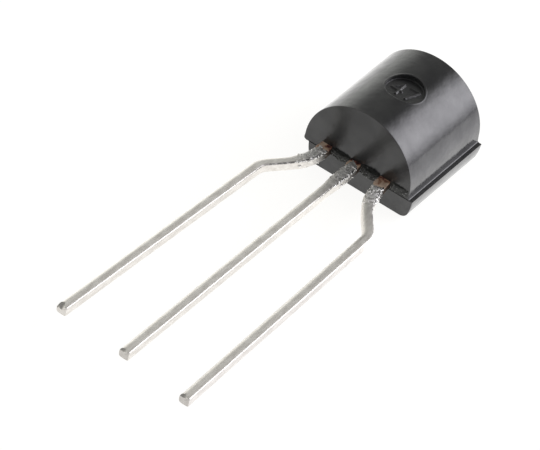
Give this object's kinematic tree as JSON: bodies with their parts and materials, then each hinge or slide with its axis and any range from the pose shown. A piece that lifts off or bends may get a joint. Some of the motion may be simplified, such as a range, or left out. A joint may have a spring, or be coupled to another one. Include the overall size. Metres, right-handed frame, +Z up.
{
  "type": "to-92 transistor",
  "caption": "Through-hole transistor in a D-section moulded epoxy body, with formed solder-dipped copper leads.",
  "frame": {"origin": "on the flat face that the part lies on, under the middle of the moulded body", "axes": "+Z up, out of the flat face towards the round side; +X along the leads, towards their tips"},
  "size_m": [0.0187, 0.0061, 0.0035],
  "materials": {
    "moulding": "black epoxy moulding compound, smooth and glossy",
    "copper": "bare copper strip, dulled and reddish brown",
    "solder": "hot-dipped tin solder, satin, grainy over the shoulder",
    "silicon": "sawn silicon, grey and opaque",
    "die_attach": "silver-filled adhesive",
    "gold_wire": "drawn gold wire"
  },
  "bodies": {
    "root": {"moulded_body": "moulding", "collector_lead": "copper", "base_lead": "copper", "emitter_lead": "copper", "collector_solder_coat": "solder", "base_solder_coat": "solder", "emitter_solder_coat": "solder", "silicon_die": "silicon", "die_attach": "die_attach", "base_bond_wire": "gold_wire", "emitter_bond_wire": "gold_wire"}
  },
  "joints": []
}
